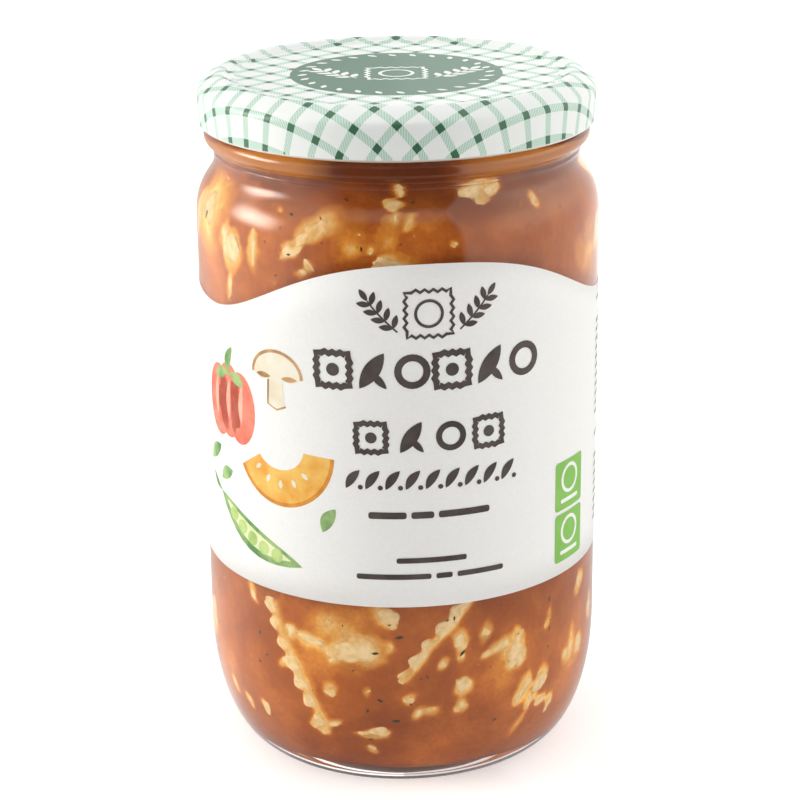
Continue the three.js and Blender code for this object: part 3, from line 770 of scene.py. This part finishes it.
# Middle, width and height of each line of bars, then the lengths of its words
BAR_LINES = [
    ((TITLE_MIDDLE - 0.6, 66.8), 26, 1.5, (5, 3, 7)),
    ((TITLE_MIDDLE - 0.3, 56.6), 15, 1.2, (7,)),
    ((TITLE_MIDDLE - 0.3, 52.9), 32, 1.2, (9, 2, 6)),
]
PANEL_X, PANEL_HEIGHTS, PANEL_WIDE, PANEL_HIGH = 43.0, (66.4, 54.4), 11.0, 11.2
SIDE_PRINT, SIDE_LOW, SIDE_HIGH, SIDE_SEED = [(57, 122), (-122, -66)], 52, 104, 12
SIDE_LINE, SIDE_BREAK, SIDE_BAR = 2.1, 5.2, 0.75


def circle(centre, radius, points=28, squash=1.0):
    """The outline of a circle, or of an ellipse that is squashed in height."""
    turns = [math.tau * k / points for k in range(points)]
    return [(centre[0] + radius * math.cos(t), centre[1] + radius * squash * math.sin(t)) for t in turns]


def pinked(centre, half, teeth=5, turn=0.0):
    """The outline of a square with its edge cut to teeth, as a raviolo's is."""
    points = []
    for side in range(4):
        for k in range(teeth * 2):
            along, out = -half + half * k / teeth, half * (1.0 if k % 2 else 1.14)
            angle = side * math.pi / 2 + turn
            points.append((centre[0] + out * math.sin(angle) + along * math.cos(angle),
                           centre[1] - out * math.cos(angle) + along * math.sin(angle)))
    return points


def leaf(base, tip, width, bend=0.0):
    """The outline of a leaf from its stalk to its tip, bent to one side."""
    length = math.dist(base, tip)
    way = ((tip[0] - base[0]) / length, (tip[1] - base[1]) / length)
    points = []
    for side in (-1, 1):
        for k in range(10):
            t = k / 10 if side < 0 else 1 - k / 10
            off = bend * math.sin(math.pi * t) + side * width / 2 * math.sin(math.pi * t) ** 0.8
            points.append((base[0] + way[0] * length * t - way[1] * off,
                           base[1] + way[1] * length * t + way[0] * off))
    return points


def bar(centre, width, height, corner=0.3):
    """The outline of a bar with rounded corners."""
    points = []
    for quarter in range(4):
        turn = quarter * math.pi / 2
        x = (width / 2 - corner) * (1 if quarter in (0, 3) else -1)
        y = (height / 2 - corner) * (1 if quarter in (0, 1) else -1)
        for k in range(4):
            angle = turn + math.pi / 6 * k
            points.append((centre[0] + x + corner * math.cos(angle),
                           centre[1] + y + corner * math.sin(angle)))
    return points


def fill(bm, outline):
    """Fills an outline with paint."""
    return bm.faces.new([bm.verts.new((x * MM, y * MM, 0)) for x, y in outline])


def stroke(bm, line, width):
    """Draws a brush line of one width through points, closed where it ends as it starts."""
    sides = []
    for k, (x, y) in enumerate(line):
        before = line[k - 1] if k else (line[-2] if line[0] == line[-1] else line[0])
        after = line[k + 1] if k + 1 < len(line) else (line[1] if line[0] == line[-1] else line[-1])
        length = math.dist(before, after)
        half = width / 2 / length
        across = ((before[1] - after[1]) * half, (after[0] - before[0]) * half)
        sides.append([bm.verts.new(((x + side * across[0]) * MM, (y + side * across[1]) * MM, 0))
                      for side in (-1, 1)])
    for (a, b), (c, d) in zip(sides, sides[1:]):
        bm.faces.new((a, c, d, b))


def sprig(bm, base, tip, leaves, size, bend):
    """A stalk with leaves on both sides and one at its tip."""
    length = math.dist(base, tip)
    way = ((tip[0] - base[0]) / length, (tip[1] - base[1]) / length)
    line = []
    for k in range(9):
        run, off = length * k / 8, bend * math.sin(math.pi * k / 16)
        line.append((base[0] + way[0] * run - way[1] * off, base[1] + way[1] * run + way[0] * off))
    stroke(bm, line, size * 0.12)
    heading = math.atan2(way[1], way[0])
    for k in range(leaves):
        x, y = line[1 + round(k * 6 / max(1, leaves - 1))]
        for side in (-1, 1):
            angle = heading + side * 0.85
            fill(bm, leaf((x, y), (x + size * math.cos(angle), y + size * math.sin(angle)), size * 0.42))
    x, y = line[-1]
    fill(bm, leaf((x, y), (x + size * way[0], y + size * way[1]), size * 0.42))


def emblem(bm, centre, size):
    """A raviolo in outline with a leafy sprig at each side."""
    x, y = centre
    edge = pinked(centre, size * 0.36, 5)
    stroke(bm, [*edge, edge[0]], size * 0.055)
    ring = circle(centre, size * 0.22)
    stroke(bm, [*ring, ring[0]], size * 0.05)
    for side in (-1, 1):
        base, tip = (x + side * size * 0.52, y - size * 0.30), (x + side * size * 0.92, y + size * 0.28)
        sprig(bm, base, tip, 4, size * 0.24, side * -size * 0.10)


def frieze(bm, left, right, height, size, count):
    """A row of stamps: pinked squares, leaves and rounds by turns."""
    for k in range(count):
        x = left + (right - left) * (k + 0.5) / count
        if k % 3 == 0:
            edge = pinked((x, height), size * 0.40, 4)
            stroke(bm, [*edge, edge[0]], size * 0.17)
            fill(bm, circle((x, height), size * 0.17, 16))
        elif k % 3 == 1:
            foot = height - size * 0.45
            fill(bm, leaf((x - size * 0.32, foot), (x + size * 0.30, height + size * 0.48), size * 0.42))
            fill(bm, leaf((x + size * 0.36, foot), (x - size * 0.05, height), size * 0.2))
        else:
            ring = circle((x, height), size * 0.36, 24)
            stroke(bm, [*ring, ring[0]], size * 0.18)


def bars(bm, centre, width, height, words):
    """A line of small print as bars of these lengths, with gaps between them."""
    unit = width / (sum(words) + 0.6 * (len(words) - 1))
    x = centre[0] - width / 2
    for length in words:
        fill(bm, bar((x + length * unit / 2, centre[1]), length * unit, height, height * 0.35))
        x += (length + 0.6) * unit


def paint(name, dark, pale):
    """A thin paint that dries uneven, between two colours."""
    material, tree, shader = new_material(name, pale, Roughness=0.6, Specular_IOR_Level=0.3)
    wash = color_ramp(tree, object_noise(tree, 220, 5.0), (0.36, dark), (0.62, pale))
    tree.links.new(wash, shader.inputs["Base Color"])
    return material


def lay_print(name, bm, material, layer):
    """Cuts a flat skin into narrow strips, bends it round the label, and makes it a piece."""
    bmesh.ops.triangulate(bm, faces=bm.faces)
    low = math.floor(min(vert.co.x for vert in bm.verts) / MM / PRINT_CUT)
    high = math.ceil(max(vert.co.x for vert in bm.verts) / MM / PRINT_CUT)
    for cut in range(low, high + 1):
        bmesh.ops.bisect_plane(bm, geom=[*bm.verts, *bm.edges, *bm.faces], plane_no=(1, 0, 0),
                               plane_co=(cut * PRINT_CUT * MM, 0, 0), dist=0.001 * MM)
    radius = LABEL_R + PAPER + INK_LIFT + layer * PAINT_LIFT
    for vert in bm.verts:
        vert.co = around(vert.co.x / radius, radius, vert.co.y)
    bm.normal_update()
    flat = Vector((1, 1, 0))
    turned = [face for face in bm.faces if face.normal.dot(face.calc_center_median() * flat) < 0]
    bmesh.ops.reverse_faces(bm, faces=turned)
    return piece(name, bm, material)


def red_pepper(paints, x, y):
    """A ripe pepper: three lobes, a sheen down each, and a green cap with its stalk."""
    for lobe, wide in ((-4.2, 5.0), (4.2, 5.0), (0, 5.2)):
        fill(paints["red_paint"], circle((x + lobe, y - 0.2 * abs(lobe)), wide, 26, 1.62))
    for lobe in (-5.4, -0.2, 4.6):
        fill(paints["pink_paint"], leaf((x + lobe, y - 4.6), (x + lobe + 0.6, y + 4.8), 1.5, 0.5))
    for side in (-1, 0, 1):
        tip = (x + side * 5.6, y + 5.6 - abs(side))
        fill(paints["green_paint"], leaf((x + side, y + 6.4), tip, 2.8))
    fill(paints["green_paint"], leaf((x - 0.4, y + 5.6), (x + 1.8, y + 12.4), 2.4, 0.8))


def squash_slice(paints, x, y):
    """A slice of orange squash: a crescent of flesh with its rind and a few seeds."""
    rind, flesh, hollow = [], [], []
    for k in range(22):
        t = math.radians(-152 + 150 * k / 21)
        rind.append((x + 13.0 * math.cos(t), y + 13.0 * math.sin(t)))
        flesh.append((x + 12.1 * math.cos(t), y + 12.1 * math.sin(t)))
    for k in range(16):
        t = math.radians(-8 - 138 * k / 15)
        hollow.append((x - 0.4 + 6.4 * math.cos(t), y + 0.8 + 5.6 * math.sin(t)))
    fill(paints["rind_paint"], rind + hollow)
    fill(paints["orange_paint"], flesh + hollow)
    for k in range(5):
        t = math.radians(-40 - 25 * k)
        ends = [(x + reach * math.cos(t), y + reach * math.sin(t)) for reach in (7.0, 9.0)]
        fill(paints["cream_paint"], leaf(*ends, 1.0))


def pea_pod(paints, x, y):
    """An open pod, long and bent, with its row of peas."""
    fill(paints["green_paint"], leaf((x - 13, y + 6), (x + 13, y - 5), 6.4, -2.2))
    fill(paints["pale_green_paint"], leaf((x - 10.4, y + 4.6), (x + 10.2, y - 4.2), 3.8, -1.6))
    for k in range(5):
        t = (k + 1) / 6
        drop = 2.0 * math.sin(math.pi * t)
        pea = (x - 10.4 + 20.6 * t - 0.4 * drop, y + 4.6 - 8.8 * t - 0.9 * drop)
        fill(paints["pea_paint"], circle(pea, 1.6, 18))
    fill(paints["green_paint"], leaf((x - 12.6, y + 5.8), (x - 17.0, y + 9.4), 1.4, 0.6))


def mushroom(paints, x, y):
    """Half a mushroom: a brown-edged cap, dark gills and a cream stalk."""
    turns = [math.pi * k / 16 for k in range(17)]
    cap = [(x + 6.4 * math.cos(t), y + 5.4 * math.sin(t)) for t in turns]
    fill(paints["cream_paint"], [*cap, (x - 4.0, y - 1.2), (x, y - 0.4), (x + 4.0, y - 1.2)])
    stroke(paints["brown_paint"], cap, 0.7)
    for side in (-1, 1):
        fill(paints["brown_paint"], leaf((x + side * 1.4, y - 0.3), (x + side * 5.4, y - 0.2), 1.2))
    stalk = [(x - 1.7, y), (x - 2.1, y - 6.4), (x, y - 7.2), (x + 2.1, y - 6.4), (x + 1.7, y)]
    edge = [(x - 2.1, y - 1), (x - 2.4, y - 6.4), (x, y - 7.4), (x + 2.4, y - 6.4)]
    fill(paints["cream_paint"], stalk)
    stroke(paints["brown_paint"], edge, 0.4)


PAINTS = {
    "rind_paint": ((0.62, 0.22, 0.02), (0.75, 0.33, 0.05)),
    "orange_paint": ((0.80, 0.36, 0.05), (0.88, 0.56, 0.14)),
    "red_paint": ((0.72, 0.13, 0.08), (0.82, 0.25, 0.17)),
    "pink_paint": ((0.84, 0.34, 0.25), (0.88, 0.48, 0.36)),
    "green_paint": ((0.10, 0.26, 0.08), (0.36, 0.52, 0.20)),
    "pale_green_paint": ((0.62, 0.72, 0.36), (0.78, 0.82, 0.55)),
    "pea_paint": ((0.34, 0.52, 0.14), (0.55, 0.68, 0.26)),
    "cream_paint": ((0.78, 0.70, 0.52), (0.86, 0.80, 0.68)),
    "brown_paint": ((0.34, 0.17, 0.07), (0.62, 0.36, 0.16)),
    "panel_green": ((0.22, 0.50, 0.09), (0.25, 0.54, 0.11)),
    "panel_white": ((0.84, 0.84, 0.82), (0.88, 0.88, 0.86)),
    "dark_ink": ((0.065, 0.048, 0.045), (0.095, 0.075, 0.07)),
    "grey_ink": ((0.30, 0.30, 0.29), (0.42, 0.42, 0.41)),
}
paints = {name: bmesh.new() for name in PAINTS}
red_pepper(paints, *PEPPER_AT)
mushroom(paints, *MUSHROOM_AT)
squash_slice(paints, *SQUASH_AT)
pea_pod(paints, *POD_AT)
for base, tip in LOOSE_LEAVES:
    fill(paints["green_paint"], leaf(base, tip, 3.0, 0.4))

ink = paints["dark_ink"]
emblem(ink, EMBLEM_AT, EMBLEM_SIZE)
for row in STAMP_ROWS:
    frieze(ink, *row)
for k in range(LEAF_COUNT):
    x = TITLE_MIDDLE + LEAF_STEP * (k - (LEAF_COUNT - 1) / 2)
    fill(ink, leaf((x - 1.5, LEAF_ROW[0]), (x + 1.5, LEAF_ROW[1]), 1.9, 0.3))
    fill(ink, circle((x + 1.6, LEAF_ROW[0] + 0.4), 0.55, 12))
for middle, width, high, words in BAR_LINES:
    bars(ink, middle, width, high, words)

for height in PANEL_HEIGHTS:
    fill(paints["panel_green"], bar((PANEL_X, height), PANEL_WIDE, PANEL_HIGH, 0.8))
    ring = circle((PANEL_X, height + 1.2), 3.0)
    stroke(paints["panel_white"], [*ring, ring[0]], 0.8)
    fill(paints["panel_white"], bar((PANEL_X, height - 3.6), 7.0, 0.9, 0.3))

side_random = random.Random(SIDE_SEED)
for start, end in SIDE_PRINT:
    line = SIDE_LOW
    while line < SIDE_HIGH:
        words = [side_random.randint(2, 9) for _ in range(round((end - start) / 5))]
        share = 1 if side_random.random() < 0.75 else 0.6
        width = (end - start - 4) * share
        bars(paints["grey_ink"], (start + 2 + width / 2, line), width, SIDE_BAR, words)
        line += SIDE_LINE if side_random.random() < 0.85 else SIDE_BREAK

for layer, (name, shades) in enumerate(PAINTS.items()):
    lay_print(name, paints[name], paint(name, *shades), layer)


# The mark in the middle of the lid: a raviolo and two sprigs in a ring of small leaves, printed in white
# on the green disc of the panel.
MARK_LIFT, MARK_SIZE = 0.03 * MM, 16
RING_LEAVES, RING_INNER, RING_OUTER, RING_LEAN = 28, 19.0, 21.2, 0.08

mark_bm = bmesh.new()
emblem(mark_bm, (0, 0), MARK_SIZE)
for k in range(RING_LEAVES):
    angle = math.tau * k / RING_LEAVES
    ends = [(reach * math.sin(turn), -reach * math.cos(turn))
            for reach, turn in ((RING_INNER, angle), (RING_OUTER, angle + RING_LEAN))]
    fill(mark_bm, leaf(*ends, 1.3))
bmesh.ops.recalc_face_normals(mark_bm, faces=mark_bm.faces)
for vert in mark_bm.verts:
    vert.co.z = PANEL_Z + MARK_LIFT
mark_bm.normal_update()
bmesh.ops.reverse_faces(mark_bm, faces=[face for face in mark_bm.faces if face.normal.z < 0])
piece("lid_mark", mark_bm, paint("lid_white", (0.80, 0.84, 0.82), (0.84, 0.87, 0.85)))


# The floor and backdrop: one pale sweep. The light is soft: a white tent all round, dark only behind the
# camera, a window at each side, and cards that the upright glass mirrors in place of the floor.
FLOOR_SIZE, FLOOR_WHITENED = 4, 0.28
TENT, DARK, FRONT_FLOOR, LEFT_WALL, RIGHT_WALL = 0.80, 0.05, 0.50, 1.6, 1.3
# Brightness round the jar, by azimuth in degrees: as the glass mirrors it far off and close by, and as
# it lights the jar
FAR_TURNS = [
    (-150, TENT), (-115, LEFT_WALL), (-64, LEFT_WALL), (-30, DARK), (34, DARK), (38, RIGHT_WALL),
]
NEAR_TURNS = [(-140, TENT), (-90, 1.2), (-30, FRONT_FLOOR), (130, TENT)]
LIGHT_TURNS = [(-125, 0.74), (-50, 0.24), (30, 0.24), (60, 0.74)]
# Radius in m, brightness all round and height over the floor of each card
CARDS = {"far_card": (6.0, FAR_TURNS, 0.4 * MM), "near_card": (0.165, NEAR_TURNS, 0.5 * MM)}
ROOF_FROM, ROOF_FULL, ROOF_BRIGHT = 0.66, 0.9, 1.65
# Azimuth, rise, distance in m, width and height in m, and strength of each window
WINDOWS = {
    "left_window": (-90, 17, 1.0, (0.95, 0.62), 15),
    "right_window": (90, 22, 1.1, (2.4, 1.3), 2.3),
}
WINDOW_LIGHT, AIM_Z = (1, 0.98, 0.90, 1), 0.12


def stage_piece(name, bm, material):
    """An object that belongs to the studio and not to the jar."""
    mesh = bpy.data.meshes.new(name)
    bm.to_mesh(mesh)
    bm.free()
    mesh.materials.append(material)
    made = bpy.data.objects.new(name, mesh)
    bpy.context.scene.collection.objects.link(made)
    return made


def round_the_tent(tree, vector, turns):
    """The brightness of the studio in a direction, from pairs of azimuth in degrees and brightness."""
    part = node(tree, "ShaderNodeSeparateXYZ", {0: vector})
    azimuth = calc(tree, "ARCTAN2", part.outputs["X"], calc(tree, "MULTIPLY", part.outputs["Y"], -1.0))
    stops = [((degrees + 180) / 360, (bright, bright, bright)) for degrees, bright in turns]
    return color_ramp(tree, between(tree, azimuth, -math.pi, math.pi), *stops)


floor_bm = bmesh.new()
bmesh.ops.create_grid(floor_bm, x_segments=1, y_segments=1, size=FLOOR_SIZE)
pale_floor, tree, shader = new_material("pale_floor", (0.93, 0.93, 0.93), Roughness=0.7,
                                        Emission_Color=(1, 1, 1, 1))
seen = node(tree, "ShaderNodeLightPath").outputs["Is Camera Ray"]
tree.links.new(calc(tree, "MULTIPLY", seen, FLOOR_WHITENED), shader.inputs["Emission Strength"])
stage_piece("floor", floor_bm, pale_floor)

for name, (radius, turns, lift) in CARDS.items():
    card_bm = bmesh.new()
    bmesh.ops.create_circle(card_bm, cap_ends=True, segments=96, radius=radius,
                            matrix=Matrix.Translation((0, 0, lift)))
    card_shade, tree, shader = new_material(name + "_shade", (0, 0, 0), Specular_IOR_Level=0.0)
    place = node(tree, "ShaderNodeTexCoord").outputs["Object"]
    tree.links.new(round_the_tent(tree, place, turns), shader.inputs["Emission Color"])
    shader.inputs["Emission Strength"].default_value = 1.0
    card = stage_piece(name, card_bm, card_shade)
    card.visible_camera = False
    card.visible_diffuse = False
    card.visible_shadow = False
    card.visible_transmission = False

world = bpy.data.worlds.new("soft_tent")
bpy.context.scene.world = world
world.use_nodes = True
tree = world.node_tree
direction = node(tree, "ShaderNodeTexCoord").outputs["Generated"]
lighting = round_the_tent(tree, direction, LIGHT_TURNS)
mirrored = round_the_tent(tree, direction, FAR_TURNS)
path = node(tree, "ShaderNodeLightPath")
glossy = path.outputs["Is Glossy Ray"]
side = node(tree, "ShaderNodeMix", {0: glossy, 2: lighting, 3: mirrored}).outputs[0]
rise = node(tree, "ShaderNodeSeparateXYZ", {0: direction}).outputs["Z"]
roof = between(tree, rise, ROOF_FROM, ROOF_FULL, 0.0, ROOF_BRIGHT)
shown = calc(tree, "MAXIMUM", calc(tree, "MAXIMUM", side, roof), path.outputs["Is Camera Ray"])
sky = tree.nodes["Background"]
sky.inputs["Color"].default_value = (1, 1, 1, 1)
tree.links.new(shown, sky.inputs["Strength"])


def at_the_jar(azimuth, rise, away):
    """A place at an azimuth and rise from the upper half of the jar, and the turn to face it."""
    aim = Vector((0, 0, AIM_Z))
    rise = math.radians(rise)
    place = aim + around(math.radians(azimuth), away * math.cos(rise), away * math.sin(rise))
    return place, (aim - place).to_track_quat("-Z", "Y")


def soft_window(name, azimuth, rise, away, size, strength):
    """A window with a blind: a sheet that glows in its middle and fades to its edges."""
    bm = bmesh.new()
    bm.loops.layers.uv.new("sheet")
    place, turn = at_the_jar(azimuth, rise, away)
    bmesh.ops.create_grid(bm, x_segments=1, y_segments=1, size=0.5, calc_uvs=True)
    for vert in bm.verts:
        vert.co = place + turn @ Vector((vert.co.x * size[0], vert.co.y * size[1], 0))
    glow, tree, shader = new_material(name + "_glow", (0, 0, 0), Specular_IOR_Level=0.0)
    sheet = node(tree, "ShaderNodeUVMap", uv_map="sheet").outputs[0]
    parts = node(tree, "ShaderNodeSeparateXYZ", {0: sheet})
    fades = [between(tree, calc(tree, "PINGPONG", parts.outputs[way], 0.5), 0.0, 0.5,
                     interpolation_type="SMOOTHERSTEP") for way in ("X", "Y")]
    shader.inputs["Emission Color"].default_value = WINDOW_LIGHT
    shader.inputs["Emission Strength"].default_value = strength
    tree.links.new(calc(tree, "MULTIPLY", *fades), shader.inputs["Alpha"])
    stage_piece(name, bm, glow).visible_camera = False


for name, values in WINDOWS.items():
    soft_window(name, *values)


# The camera stands where the photograph's did, worked out from the lid's edges, the label's lower edge
# and the outline of the glass.
CAMERA_BACK, CAMERA_HIGH = 495.2 * MM, 250.65 * MM
CAMERA_PITCH, CAMERA_ROLL, FOCAL_PIXELS, FRAME_PIXELS = 0.3373433, 0.01147, 2339.9, 800
SENSOR = 36

camera_data = bpy.data.cameras.new("camera")
camera_data.sensor_width = SENSOR
camera_data.sensor_fit = "HORIZONTAL"
camera_data.lens = FOCAL_PIXELS / FRAME_PIXELS * SENSOR
camera = bpy.data.objects.new("camera", camera_data)
camera.location = (0, -CAMERA_BACK, CAMERA_HIGH)
look_down = Matrix.Rotation(math.pi / 2 - CAMERA_PITCH, 3, "X")
camera.rotation_euler = (look_down @ Matrix.Rotation(-CAMERA_ROLL, 3, "Z")).to_euler()
bpy.context.scene.collection.objects.link(camera)
bpy.context.scene.camera = camera
bpy.context.scene.view_settings.view_transform = "Standard"
bpy.context.scene.cycles.caustics_refractive = False
bpy.context.scene.cycles.caustics_reflective = False
